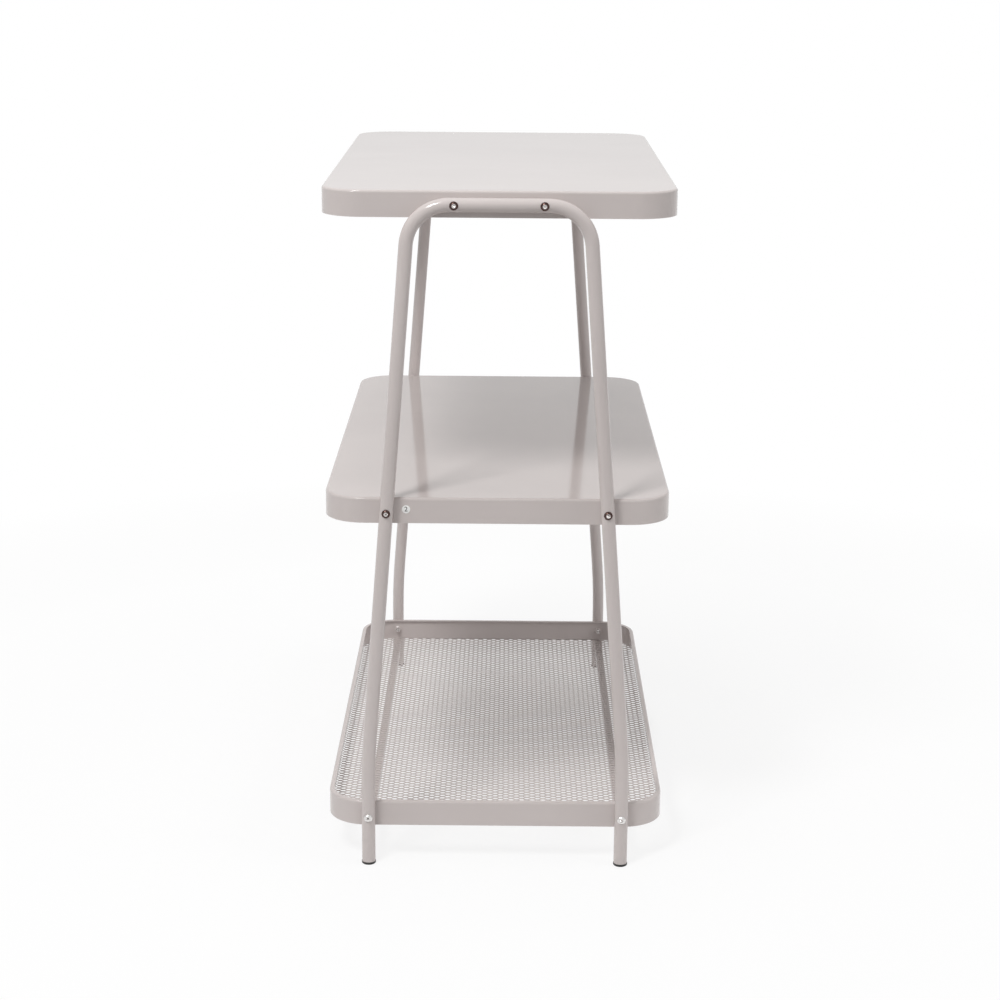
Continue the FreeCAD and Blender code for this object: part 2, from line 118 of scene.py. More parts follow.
# Lamps: flat panels 3 m from the shelf. Each has a turn from the camera's side to the left, a rise
# above level, a width, a height and a power. The key throws the legs' shadows right and back, and it
# alone is seen in the gloss of the paint.
aim, lamp_distance = Vector((0, 0, 0.45)), 3.0
for name, turn, rise, wide, tall, power in (
        ("key_softbox", 30, 50, 0.60, 0.70, 45.0), ("left_panel", 57, 18, 1.2, 1.0, 6.0),
        ("right_panel", -75, 20, 1.6, 1.2, 21.0), ("rear_panel", 180, 10, 1.6, 1.2, 42.0),
        ("top_panel", 30, 84, 1.0, 1.0, 15.5)):
    lamp = put_in_scene(name, bpy.data.lights.new(name, "AREA"))
    lamp.data.shape = "RECTANGLE"
    lamp.data.size, lamp.data.size_y, lamp.data.energy = wide, tall, power
    towards = (Matrix.Rotation(math.radians(-turn), 3, "Z") @ Matrix.Rotation(math.radians(-rise), 3, "X")
               @ Vector((0, -1, 0)))
    lamp.location = aim + lamp_distance * towards
    lamp.rotation_euler = (-towards).to_track_quat("-Z", "Y").to_euler()
    lamp.visible_glossy = name == "key_softbox"

# Floor: a pale paper sheet on a wider and darker floor, so that light comes back mostly from near the
# shelf. To look at, both fade to plain white, and least so under the basket, where the shade is deepest.
floor_radius, floor_sides = 8.0, 96
grain_scale, grain_dark, grain_light = 900.0, (0.84, 0.84, 0.84, 1), (0.90, 0.90, 0.90, 1)
sheet_end, wider_start, wider_tone = 0.9, 1.7, (0.25, 0.23, 0.22, 1)
fade_start, fade_end, near_white = 0.4, 1.5, 0.84
shade_middle, shade_reach, shade_core, shade_white = (0.03, 0.09, 0), (0.20, 0.31, 1), 0.45, 0.62


def mix_colours(tree, share, first, second, blend="MIX"):
    """Mixes two colours, which are sockets or plain values, by a share."""
    return add_node(tree, "ShaderNodeMix", {0: share, 6: first, 7: second}, data_type="RGBA",
                    blend_type=blend).outputs[2]


def vector_maths(tree, operation, *values):
    """One Vector Math node. A length or dot product comes out as a number, the rest as a vector."""
    node = add_node(tree, "ShaderNodeVectorMath", dict(enumerate(values)), operation=operation)
    return node.outputs["Value" if operation in ("LENGTH", "DOT_PRODUCT") else "Vector"]


def own_place(tree):
    """Where a point lies on its piece, in metres."""
    return add_node(tree, "ShaderNodeTexCoord").outputs["Object"]


def noise(tree, place, scale, detail, roughness=0.5):
    """Soft random tones, which are finer at a larger scale."""
    return add_node(tree, "ShaderNodeTexNoise", {"Vector": place, "Scale": scale, "Detail": detail,
                                                 "Roughness": roughness}).outputs["Fac"]


def new_finish(name):
    """A new material, with its node tree and its Principled shader."""
    finish = bpy.data.materials.new(name)
    finish.use_nodes = True
    return finish, finish.node_tree, finish.node_tree.nodes["Principled BSDF"]


floor_mesh = bpy.data.meshes.new("floor")
work = bmesh.new()
bmesh.ops.create_circle(work, cap_ends=True, segments=floor_sides, radius=floor_radius)
work.to_mesh(floor_mesh)
work.free()
floor = put_in_scene("floor", floor_mesh)
paper, tree, shell = new_finish("pale_floor")
tree.nodes.remove(shell)
place = own_place(tree)
reach = vector_maths(tree, "LENGTH", place)
tone = mix_colours(tree, noise(tree, place, grain_scale, detail=2.0), grain_dark, grain_light)
tone = mix_colours(tree, stretch(tree, reach, sheet_end, wider_start, 0.0, 1.0), tone, wider_tone)
sheet = add_node(tree, "ShaderNodeBsdfDiffuse", {"Color": tone, "Roughness": 0.4})
white = add_node(tree, "ShaderNodeEmission", {"Color": (1, 1, 1, 1), "Strength": 1.0})
from_shade = vector_maths(tree, "DIVIDE", vector_maths(tree, "SUBTRACT", place, shade_middle), shade_reach)
out_of_shade = stretch(tree, vector_maths(tree, "LENGTH", from_shade), shade_core, 1.0, shade_white, 1.0)
faded = stretch(tree, reach, fade_start, fade_end, near_white, 1.0)
share = maths(tree, "MULTIPLY", seen_straight(tree), maths(tree, "MULTIPLY", faded, out_of_shade))
mixed = add_node(tree, "ShaderNodeMixShader", {0: share, 1: sheet.outputs[0], 2: white.outputs[0]})
set_inputs(tree.nodes["Material Output"], {"Surface": mixed.outputs[0]})
floor.data.materials.append(paper)

# Trays: two, each pressed from one steel sheet with a bent edge and a skirt that is open below.
# They are powder coated pale grey with a smooth gloss, and screwed between the two tube hoops.
shelf_grey = (0.60, 0.545, 0.53)
cloud_scale, cloud_range = 6.0, (0.3, 0.7)
cloud_dark, cloud_light = (0.972, 0.970, 0.968, 1), (1.018, 1.016, 1.014, 1)
fleck_scale, fleck_range = 2600.0, (0.35, 0.65)
fleck_dark, fleck_light = (0.985, 0.985, 0.985, 1), (1.012, 1.012, 1.012, 1)
wear_scale, wear_range, least_wear, edge_range = 160.0, (0.4, 0.65), 0.15, (0.01, 0.2)
worn_paleness, paint_ior = 1.22, 1.5


def new_group(name, inputs, outputs):
    """An empty shader group with named sockets: inputs (name, kind, value) and outputs (name, kind)."""
    group = bpy.data.node_groups.new(name, "ShaderNodeTree")
    for label, kind, value in inputs:
        socket = group.interface.new_socket(label, in_out="INPUT", socket_type=kind)
        socket.default_value = value
    for label, kind in outputs:
        group.interface.new_socket(label, in_out="OUTPUT", socket_type=kind)
    return group


powder_coat = new_group(
    "powder_coat",
    [("Colour", "NodeSocketColor", (0.6, 0.55, 0.53, 1)), ("Peel Size", "NodeSocketFloat", 0.0016),
     ("Gloss Spread", "NodeSocketFloat", 0.03), ("Roughness", "NodeSocketFloat", 0.14)],
    [("Colour", "NodeSocketColor"), ("Roughness", "NodeSocketFloat"), ("Height", "NodeSocketFloat")])
tree = powder_coat
given = add_node(tree, "NodeGroupInput").outputs
spot = own_place(tree)
peel = noise(tree, spot, maths(tree, "DIVIDE", 1.0, given["Peel Size"]), detail=1.5, roughness=0.45)
cloud = noise(tree, spot, cloud_scale, detail=3.0)
fleck = noise(tree, spot, fleck_scale, detail=1.0)
cloudy = mix_colours(tree, stretch(tree, cloud, *cloud_range, 0.0, 1.0), cloud_dark, cloud_light)
flecked = mix_colours(tree, stretch(tree, fleck, *fleck_range, 0.0, 1.0), fleck_dark, fleck_light)
toned = mix_colours(tree, 1.0, given["Colour"], cloudy, "MULTIPLY")
toned = mix_colours(tree, 1.0, toned, flecked, "MULTIPLY")
uneven = maths(tree, "ADD", cloud, fleck)
dulled = maths(tree, "MULTIPLY_ADD", uneven, given["Gloss Spread"], given["Roughness"])
add_node(tree, "NodeGroupOutput", {"Colour": toned, "Roughness": dulled, "Height": peel})

edge_wear = new_group(
    "edge_wear",
    [("Width", "NodeSocketFloat", 0.0012), ("Amount", "NodeSocketFloat", 0.5)],
    [("Mask", "NodeSocketFloat")])
tree = edge_wear
given = add_node(tree, "NodeGroupInput").outputs
rounded = add_node(tree, "ShaderNodeBevel", {"Radius": given["Width"]}, samples=6).outputs["Normal"]
facing = add_node(tree, "ShaderNodeNewGeometry").outputs["Normal"]
bent = maths(tree, "SUBTRACT", 1.0, vector_maths(tree, "DOT_PRODUCT", rounded, facing))
breaks = stretch(tree, noise(tree, own_place(tree), wear_scale, detail=4.0), *wear_range, least_wear, 1.0)
broken = maths(tree, "MULTIPLY", stretch(tree, bent, *edge_range, 0.0, 1.0), breaks)
add_node(tree, "NodeGroupOutput", {"Mask": maths(tree, "MULTIPLY", broken, given["Amount"])})


def painted_steel(name, roughness, peel_size, peel_depth, wear_width):
    """Powder coat on steel: faint cloudy tone, orange-peel skin, and thinner, paler paint along edges."""
    paint, tree, shell = new_finish(name)
    coat = add_node(tree, "ShaderNodeGroup", {
        "Colour": (*shelf_grey, 1), "Roughness": roughness, "Peel Size": peel_size}, node_tree=powder_coat)
    wear = add_node(tree, "ShaderNodeGroup", {"Width": wear_width}, node_tree=edge_wear)
    pale = tuple(min(1.0, part * worn_paleness) for part in shelf_grey) + (1,)
    bump = add_node(tree, "ShaderNodeBump", {"Height": coat.outputs["Height"], "Distance": peel_depth})
    set_inputs(shell, {
        "Base Color": mix_colours(tree, wear.outputs["Mask"], coat.outputs["Colour"], pale),
        "Roughness": coat.outputs["Roughness"], "Normal": bump.outputs["Normal"], "IOR": paint_ior})
    return paint


def finish_nodes(material, *names):
    """Gives a finish to pieces whose solid shape is already right."""
    for name in names:
        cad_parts[name].material_slots[0].material = material


tray_paint = painted_steel("tray_powder_coat", roughness=0.06, peel_size=0.0016, peel_depth=0.000002,
                           wear_width=0.0012)
finish_nodes(tray_paint, "top_tray", "middle_tray")

# Basket rim and bars: the rim is an upright band of strip steel, whose top edge is turned in to a narrow
# lip. Two square bars run lengthwise under the mesh. Rim, bars and mesh are welded together and powder
# coated in one go.
strip_thickness, lip_width, lip_bend, rim_corner = 0.0016, 0.0054, 0.0020, 0.047
bend_steps, corner_steps, flat_run = 5, 16, 0.0008
seam_width, sharp_edge = 0.000001, math.radians(32)


def finished_mesh(work, name):
    """Closes a bmesh's seams, turns its faces outwards and shades it smooth except at real edges."""
    bmesh.ops.remove_doubles(work, verts=work.verts, dist=seam_width)
    bmesh.ops.recalc_face_normals(work, faces=work.faces)
    for edge in work.edges:
        edge.smooth = len(edge.link_faces) == 2 and edge.calc_face_angle(0) < sharp_edge
    for face in work.faces:
        face.smooth = True
    mesh = bpy.data.meshes.new(name)
    work.to_mesh(mesh)
    work.free()
    return mesh


def rounded_outline(half_width, half_length, corner):
    """Points round a rounded rectangle: the middle of each one's corner, and the direction out from it."""
    places = []
    for quarter, (side, end) in enumerate(((1, 1), (-1, 1), (-1, -1), (1, -1))):
        middle = Vector((side * (half_width - corner), end * (half_length - corner), 0))
        turns = [math.pi / 2 * (quarter + step / corner_steps) for step in range(corner_steps + 1)]
        outs = [Vector((math.cos(turn), math.sin(turn), 0)) for turn in turns]
        along_in, along_out = Vector((outs[0].y, -outs[0].x, 0)), Vector((-outs[-1].y, outs[-1].x, 0))
        places.append((middle + flat_run * along_in, outs[0]))
        places += [(middle, out) for out in outs]
        places.append((middle + flat_run * along_out, outs[-1]))
    return places


def make_rim(low, high):
    """The band and its lip: one profile of inset and height, carried round the outline."""
    turns = [math.pi / 2 * step / bend_steps for step in range(bend_steps + 1)]
    inner_bend = lip_bend - strip_thickness
    bend_foot, lip_under = high.z - lip_bend, high.z - strip_thickness
    profile = [(0, low.z), (0, bend_foot - flat_run)]
    profile += [(lip_bend - lip_bend * math.cos(turn), bend_foot + lip_bend * math.sin(turn))
                for turn in turns]
    profile += [(lip_bend + flat_run, high.z), (lip_width, high.z)]
    profile += [(lip_width, lip_under), (lip_bend + flat_run, lip_under)]
    profile += [(lip_bend - inner_bend * math.cos(turn), bend_foot + inner_bend * math.sin(turn))
                for turn in reversed(turns)]
    profile += [(strip_thickness, bend_foot - flat_run), (strip_thickness, low.z)]
    places = rounded_outline(high.x, high.y, rim_corner)
    band = bmesh.new()
    rings = []
    for inset, height in profile:
        raised = Vector((0, 0, height))
        rings.append([band.verts.new(middle + (rim_corner - inset) * out + raised) for middle, out in places])
    for ring, after in zip(rings, rings[1:] + rings[:1]):
        for n in range(len(places)):
            following = (n + 1) % len(places)
            band.faces.new((ring[n], ring[following], after[following], after[n]))
    return finished_mesh(band, "basket_band")


rim_paint = painted_steel("rim_powder_coat", roughness=0.08, peel_size=0.0018, peel_depth=0.000003,
                          wear_width=0.0012)
basket_band = put_in_scene("basket_band", make_rim(*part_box("basket_rim")))
basket_band.data.materials.append(rim_paint)
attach(basket_band, "root")
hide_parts("basket_rim")
finish_nodes(rim_paint, "support_bar_left", "support_bar_right")

# Mesh floor: expanded steel sheet, slit and pulled open into staggered six-sided gaps, 13 x 8 mm a cell.
# Each strand is left a little tilted by the pulling. The sheet is cut to the rim and welded inside it.
cell_across, cell_along = 0.0130, 0.0080
gap_half_length, gap_half_width, gap_half_flat = 0.00470, 0.00275, 0.0014
tile_corner = 0.00515
strand_half_height, strand_tilt = 0.00030, 0.00014
cut_allowance, strand_seam = 0.0012, 0.00001


def make_mesh_cell():
    """One gap with its share of the strands round it, closed except where the next cells join on."""
    far_corner = cell_across / 2 - tile_corner
    tile = [(tile_corner, 0), (far_corner, cell_along / 2), (-far_corner, cell_along / 2),
            (-tile_corner, 0), (-far_corner, -cell_along / 2), (far_corner, -cell_along / 2)]
    gap = [(gap_half_length, 0), (gap_half_flat, gap_half_width), (-gap_half_flat, gap_half_width),
           (-gap_half_length, 0), (-gap_half_flat, -gap_half_width), (gap_half_flat, -gap_half_width)]
    cell = bmesh.new()
    rings = {}
    for level in (1, -1):
        rings["tile", level] = [cell.verts.new((x, y, level * strand_half_height)) for x, y in tile]
        rings["gap", level] = [
            cell.verts.new((x, y, level * strand_half_height - math.copysign(strand_tilt, y) * (y != 0)))
            for x, y in gap]
    top_tile, top_gap = rings["tile", 1], rings["gap", 1]
    low_tile, low_gap = rings["tile", -1], rings["gap", -1]
    for n in range(len(tile)):
        after = (n + 1) % len(tile)
        cell.faces.new((top_tile[n], top_tile[after], top_gap[after], top_gap[n]))
        cell.faces.new((low_tile[after], low_tile[n], low_gap[n], low_gap[after]))
        cell.faces.new((top_gap[n], top_gap[after], low_gap[after], low_gap[n]))
    mesh = bpy.data.meshes.new("mesh_cell")
    cell.to_mesh(mesh)
    cell.free()
    return mesh


def new_geometry_tree(name, inputs):
    """An empty Geometry Nodes tree with a mesh in, a mesh out and named inputs (name, kind)."""
    tree = bpy.data.node_groups.new(name, "GeometryNodeTree")
    tree.interface.new_socket("Geometry", in_out="INPUT", socket_type="NodeSocketGeometry")
    for label, kind in inputs:
        tree.interface.new_socket(label, in_out="INPUT", socket_type=kind)
    tree.interface.new_socket("Geometry", in_out="OUTPUT", socket_type="NodeSocketGeometry")
    return tree


def plain_copy(thing, name):
    """The mesh that an object shows, with its modifiers or its text made real, and the object removed."""
    made = bpy.data.meshes.new_from_object(thing.evaluated_get(bpy.context.evaluated_depsgraph_get()))
    made.name = name
    bpy.data.objects.remove(thing)
    return made


def grown(name, mesh, tree, values):
    """Runs a Geometry Nodes tree once on a mesh and returns the result as a plain mesh object."""
    source = put_in_scene(name + "_source", mesh)
    modifier = source.modifiers.new(name, "NODES")
    modifier.node_group = tree
    for item in tree.interface.items_tree:
        if item.in_out == "INPUT" and item.name in values:
            modifier[item.identifier] = values[item.name]
    return put_in_scene(name, plain_copy(source, name))


def outline_distance(tree, half_width, half_length, radius):
    """How far a point lies outside the rounded outline, and the direction straight out from it."""
    where = add_node(tree, "GeometryNodeInputPosition").outputs[0]
    core = add_node(tree, "ShaderNodeCombineXYZ", {
        "X": maths(tree, "SUBTRACT", half_width, radius), "Y": maths(tree, "SUBTRACT", half_length, radius),
        "Z": 1.0}).outputs[0]
    over = vector_maths(tree, "SUBTRACT", vector_maths(tree, "ABSOLUTE", where), core)
    beyond = vector_maths(tree, "MAXIMUM", over, (0, 0, 0))
    distance = maths(tree, "SUBTRACT", vector_maths(tree, "LENGTH", beyond), radius)
    signed = vector_maths(tree, "MULTIPLY", beyond, vector_maths(tree, "SIGN", where))
    return distance, vector_maths(tree, "NORMALIZE", signed)


expanded_sheet = new_geometry_tree("expanded_sheet", [
    ("Cell Across", "NodeSocketFloat"), ("Cell Along", "NodeSocketFloat"), ("Columns", "NodeSocketInt"),
    ("Rows", "NodeSocketInt"), ("Half Width", "NodeSocketFloat"), ("Half Length", "NodeSocketFloat"),
    ("Corner Radius", "NodeSocketFloat"), ("Height", "NodeSocketFloat"), ("Paint", "NodeSocketMaterial")])
tree = expanded_sheet
given = add_node(tree, "NodeGroupInput").outputs
span_across = maths(tree, "MULTIPLY", given["Cell Across"], maths(tree, "SUBTRACT", given["Columns"], 1))
span_along = maths(tree, "MULTIPLY", given["Cell Along"], maths(tree, "SUBTRACT", given["Rows"], 1))
rows = add_node(tree, "GeometryNodeMeshGrid", {"Size X": span_across, "Size Y": span_along,
                                               "Vertices X": given["Columns"], "Vertices Y": given["Rows"]})
half_step = add_node(tree, "ShaderNodeCombineXYZ", {
    "X": maths(tree, "MULTIPLY", given["Cell Across"], 0.5),
    "Y": maths(tree, "MULTIPLY", given["Cell Along"], 0.5)}).outputs[0]
staggered = add_node(tree, "GeometryNodeTransform", {"Geometry": rows.outputs[0], "Translation": half_step})
both = add_node(tree, "GeometryNodeJoinGeometry", {0: rows.outputs[0]})
tree.links.new(staggered.outputs[0], both.inputs[0])
outline = (given["Half Width"], given["Half Length"], given["Corner Radius"])
# Cells past the outline are left out, and strands that cross it are drawn back to it.
kept = maths(tree, "LESS_THAN", outline_distance(tree, *outline)[0], cut_allowance)
cells = add_node(tree, "GeometryNodeInstanceOnPoints", {
    "Points": both.outputs[0], "Selection": kept, "Instance": given["Geometry"]})
real = add_node(tree, "GeometryNodeRealizeInstances", {0: cells.outputs[0]})
distance, direction = outline_distance(tree, *outline)
pull = maths(tree, "MULTIPLY", maths(tree, "MAXIMUM", distance, 0.0), -1.0)
shift = add_node(tree, "ShaderNodeVectorMath", {0: direction, "Scale": pull}, operation="SCALE").outputs[0]
cut = add_node(tree, "GeometryNodeSetPosition", {"Geometry": real.outputs[0], "Offset": shift})
joined = add_node(tree, "GeometryNodeMergeByDistance", {"Geometry": cut.outputs[0], "Distance": strand_seam})
raised = add_node(tree, "ShaderNodeCombineXYZ", {"Z": given["Height"]}).outputs[0]
lifted = add_node(tree, "GeometryNodeTransform", {"Geometry": joined.outputs[0], "Translation": raised})
coated = add_node(tree, "GeometryNodeSetMaterial", {
    "Geometry": lifted.outputs[0], "Material": given["Paint"]})
add_node(tree, "NodeGroupOutput", {0: coated.outputs[0]})


def close_cut_ends(sheet):
    """Walls the ends of the cut strands, between the sheet's upper and lower skins."""
    work = bmesh.new()
    work.from_mesh(sheet)
    middle = sum(point.co.z for point in work.verts) / len(work.verts)
    lower = [point for point in work.verts if point.is_boundary and point.co.z < middle]
    plan = KDTree(len(lower))
    for n, point in enumerate(lower):
        plan.insert((point.co.x, point.co.y, 0), n)
    plan.balance()
    for edge in [edge for edge in work.edges if edge.is_boundary]:
        corner = edge.link_loops[0]
        start, end = corner.vert, corner.link_loop_next.vert
        if start.co.z > middle:
            below = [lower[plan.find((point.co.x, point.co.y, 0))[1]] for point in (start, end)]
            work.faces.new((end, start, *below))
    work.to_mesh(sheet)
    work.free()


mesh_paint = painted_steel("mesh_powder_coat", roughness=0.2, peel_size=0.0012, peel_depth=0.000004,
                           wear_width=0.0004)
low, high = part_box("mesh_floor")
mesh_floor = grown("expanded_mesh_floor", make_mesh_cell(), expanded_sheet, {
    "Cell Across": cell_across, "Cell Along": cell_along,
    "Columns": 2 * math.ceil(high.x / cell_across) + 2, "Rows": 2 * math.ceil(high.y / cell_along) + 2,
    "Half Width": high.x, "Half Length": high.y, "Corner Radius": rim_corner - strip_thickness,
    "Height": (low.z + high.z) / 2, "Paint": mesh_paint})
close_cut_ends(mesh_floor.data)
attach(mesh_floor, "root")
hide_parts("mesh_floor")

# Hoops: two round steel tubes, each bent to an upside-down U whose legs lean out and turn upright at the
# foot. They are powder coated like the trays, and the screws go through them from outside.
hoop_paint = painted_steel("hoop_powder_coat", roughness=0.08, peel_size=0.0015, peel_depth=0.000003,
                           wear_width=0.0012)
finish_nodes(hoop_paint, "front_hoop", "rear_hoop")

# Foot caps: four black plastic inserts pushed into the tube ends, so that the shelf doesn't scratch the
# floor. They are moulded with a fine grain, and a little dust lies on them.
moulded_grain, grain_depth, grain_range = 1800.0, 0.00002, (0.3, 0.7)
dust_scale, dust_range = 90.0, (0.45, 0.75)
clean_black, dusty_black, cap_roughness = (0.022, 0.021, 0.021, 1), (0.06, 0.056, 0.054, 1), (0.42, 0.6)
cap_plastic, tree, shell = new_finish("cap_plastic")
speck = noise(tree, own_place(tree), moulded_grain, detail=3.0)
dusty = stretch(tree, noise(tree, own_place(tree), dust_scale, detail=5.0), *dust_range, 0.0, 1.0)
bump = add_node(tree, "ShaderNodeBump", {"Height": speck, "Distance": grain_depth})
set_inputs(shell, {
    "Base Color": mix_colours(tree, dusty, clean_black, dusty_black),
    "Roughness": stretch(tree, speck, *grain_range, *cap_roughness), "Normal": bump.outputs["Normal"]})
finish_nodes(cap_plastic, "foot_cap_front_left", "foot_cap_front_right", "foot_cap_rear_left",
             "foot_cap_rear_right")

# Screws: twelve M5 button-head screws of zinc-plated steel with a hexagon socket, through tube and skirt.
# Each is turned home by hand, so no two sockets stand at the same angle. The trays' heads get a painted
# dark rim round the outside, a painted reflection of dark surroundings, while the basket's stay bright.
# The sockets of the lower two tiers are painted dark, as painted shade.
screw_radius, thread_depth, thread_pitch, thread_length = 0.0025, 0.0003, 0.0008, 0.0064
head_radius, head_height, head_flat_radius, head_wall = 0.0050, 0.0027, 0.0021, 0.00035
head_foot, foot_bevel, dome_steps = 0.95, 0.0002, 7
socket_width, socket_depth, socket_cone = 0.0030, 0.0015, 0.0010
socket_flare, flare_depth = 0.0003, 0.00015
neck_bevel, overlap, run_out_turns = 0.0002, 0.0001, 3
# The painted dark rim round the trays' screw heads, a painted reflection: where it starts and how fast it
# comes in.
bright_radius, dark_rim_fade = 0.0020, 0.0006
# The painted shade in the sockets of the lower two tiers: how far out it reaches and how fast it fades.
shaded_socket_radius, socket_shade_fade = 0.0011, 0.0004
facets = 24
levels = ("top", "middle", "basket")
ends = ("front", "rear")


def lathe(work, rings, closed=False):
    """Joins rings of points, each a list of (reach, height), into one skin. One point alone is a pole."""
    made = []
    for ring in rings:
        if len(ring) == 1:
            made.append([work.verts.new((0, 0, ring[0][1]))])
            continue
        made.append([work.verts.new((reach * math.cos(2 * math.pi * n / facets),
                                     reach * math.sin(2 * math.pi * n / facets), height))
                     for n, (reach, height) in enumerate(ring)])
    for ring, after in zip(made, made[1:] + (made[:1] if closed else [])):
        for n in range(facets):
            following = (n + 1) % facets
            if len(after) == 1:
                work.faces.new((ring[n], ring[following], after[0]))
            elif len(ring) == 1:
                work.faces.new((ring[0], after[following], after[n]))
            else:
                work.faces.new((ring[n], ring[following], after[following], after[n]))


def round_ring(reach, height):
    """A ring of points on a circle."""
    return [(reach, height)] * facets


def hexagon_ring(width, height):
    """A ring of points on a hexagon of a given width across its flats."""
    ring = []
    for n in range(facets):
        off_flat = (2 * math.pi * n / facets + math.pi / 6) % (math.pi / 3) - math.pi / 6
        ring.append((width / 2 / math.cos(off_flat), height))
    return ring


def make_screw(length):
    """A screw whose head stands on the level plane, dome up, with its shank and thread below."""
    screw = bmesh.new()
    # The head: its foot and wall, a dome that is part of a ball, and the socket with its cone.
    rings = [[(0, 0)], round_ring(head_radius * head_foot, 0), round_ring(head_radius, foot_bevel),
             round_ring(head_radius, head_wall)]
    rise = head_height - head_wall
    below = (head_radius ** 2 - head_flat_radius ** 2 - rise ** 2) / (2 * rise)
    ball_radius = math.hypot(head_radius, below)
    for n in range(1, dome_steps + 1):
        reach = head_radius + (head_flat_radius - head_radius) * n / dome_steps
        rings.append(round_ring(reach, head_wall + math.sqrt(ball_radius ** 2 - reach ** 2) - below))
    socket_foot = head_height - socket_depth
    rings += [hexagon_ring(socket_width + socket_flare, head_height),
              hexagon_ring(socket_width, head_height - flare_depth),
              hexagon_ring(socket_width, socket_foot), [(0, socket_foot - socket_cone)]]
    lathe(screw, rings)
    # Per point: the painted dark rim round the head (a painted reflection) and the painted shade in the
    # socket.
    painted_dark_rim, painted_socket_shade = screw.verts.layers.float.new("painted_dark_rim"), screw.verts.layers.float.new("painted_socket_shade")
    for point in screw.verts:
        reach = math.hypot(point.co.x, point.co.y)
        point[painted_dark_rim] = min(1.0, max(0.0, (reach - bright_radius) / dark_rim_fade))
        point[painted_socket_shade] = min(1.0, max(0.0, (shaded_socket_radius + socket_shade_fade - reach) / socket_shade_fade))
    # The plain shank, then the thread: a crest and a root line wound down to the tip and drawn in there.
    neck, root_radius = thread_length - length, screw_radius - thread_depth
    lathe(screw, [[(0, overlap)], round_ring(screw_radius, overlap), round_ring(screw_radius, neck),
                  round_ring(root_radius, neck - neck_bevel), [(0, neck - neck_bevel)]])
    crests, roots = [], []
    count = round(thread_length / thread_pitch) * facets
    for n in range(count + facets + 1):
        turn = 2 * math.pi * n / facets
        fall = thread_pitch * n / facets
        taper = max(0.0, 1 - max(0, n - count + facets) / (run_out_turns * facets))
        for line, reach, extra in ((crests, screw_radius * taper, 0),
                                   (roots, root_radius * taper, thread_pitch / 2)):
            height = max(neck - fall - extra, -length)
            line.append(screw.verts.new((reach * math.cos(turn), reach * math.sin(turn), height)))
    for n in range(count):
        screw.faces.new((crests[n], crests[n + 1], roots[n + 1], roots[n]))
        screw.faces.new((roots[n], roots[n + 1], crests[n + facets + 1], crests[n + facets]))
    for first, height in ((0, neck + overlap), (count, -length)):
        pole = screw.verts.new((0, 0, height))
        for n in range(first, first + facets):
            screw.faces.new((crests[n], crests[n + 1], pole))
        screw.faces.new((crests[first], roots[first], crests[first + facets], pole))
    return finished_mesh(screw, "screw")


fasteners = new_geometry_tree("fasteners", [("Fastener", "NodeSocketObject"), ("Seed", "NodeSocketInt"),
                                            ("Finish", "NodeSocketMaterial")])
tree = fasteners
given = add_node(tree, "NodeGroupInput").outputs
where = add_node(tree, "GeometryNodeInputPosition").outputs[0]
outside = maths(tree, "SIGN", add_node(tree, "ShaderNodeSeparateXYZ", {0: where}).outputs["Y"])
outwards = add_node(tree, "ShaderNodeCombineXYZ", {"Y": outside}).outputs[0]
upright = add_node(tree, "FunctionNodeAlignRotationToVector", {"Vector": outwards}, axis="Z").outputs[0]
chance = add_node(tree, "FunctionNodeRandomValue", {2: 0.0, 3: math.pi, "Seed": given["Seed"]},
                  data_type="FLOAT")
spin = add_node(tree, "ShaderNodeCombineXYZ", {"Z": chance.outputs[1]}).outputs[0]
turned = add_node(tree, "FunctionNodeRotateRotation", {0: upright, 1: spin},
                  rotation_space="LOCAL").outputs[0]
pattern = add_node(tree, "GeometryNodeObjectInfo", {"Object": given["Fastener"]}).outputs["Geometry"]
put = add_node(tree, "GeometryNodeInstanceOnPoints", {"Points": given["Geometry"], "Instance": pattern,
                                                      "Rotation": turned})
real = add_node(tree, "GeometryNodeRealizeInstances", {0: put.outputs[0]})
coated = add_node(tree, "GeometryNodeSetMaterial", {"Geometry": real.outputs[0], "Material": given["Finish"]})
add_node(tree, "NodeGroupOutput", {0: coated.outputs[0]})


def fastener_places(kind, reach, y_of):
    """One point for each fastener: its own height and width, and the face that it stands on."""
    points = []
    for level in levels:
        for end in ends:
            low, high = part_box(f"{kind}_{level}_{end}")
            for side in (1, -1):
                points.append((side * (high.x - reach), y_of(end, low, high), (low.z + high.z) / 2))
    mesh = bpy.data.meshes.new(f"{kind}_places")
    mesh.from_pydata(points, [], [])
    return mesh


def set_fasteners(name, kind, pattern_mesh, reach, y_of, finish, seed):
    """Puts one fastener at each of its twelve places and stands it for the plain solids."""
    pattern = bpy.data.objects.new(f"{kind}_pattern", pattern_mesh)
    piece = grown(name, fastener_places(kind, reach, y_of), fasteners,
                  {"Fastener": pattern, "Seed": seed, "Finish": finish})
    bpy.data.objects.remove(pattern)
    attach(piece, "root")
    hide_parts(*[f"{kind}_{level}_{end}" for level in levels for end in ends])
    return piece


def tube_face(end, low, high):
    """The outermost face of the hoop's tube, where a screw's head sits."""
    hoop_low, hoop_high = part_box(f"{end}_hoop")
    return hoop_low.y if end == "front" else hoop_high.y


blotch_scale, blotch_range, gloss_range, zinc_roughness = 420.0, (0.35, 0.65), (0.3, 0.7), (0.08, 0.20)
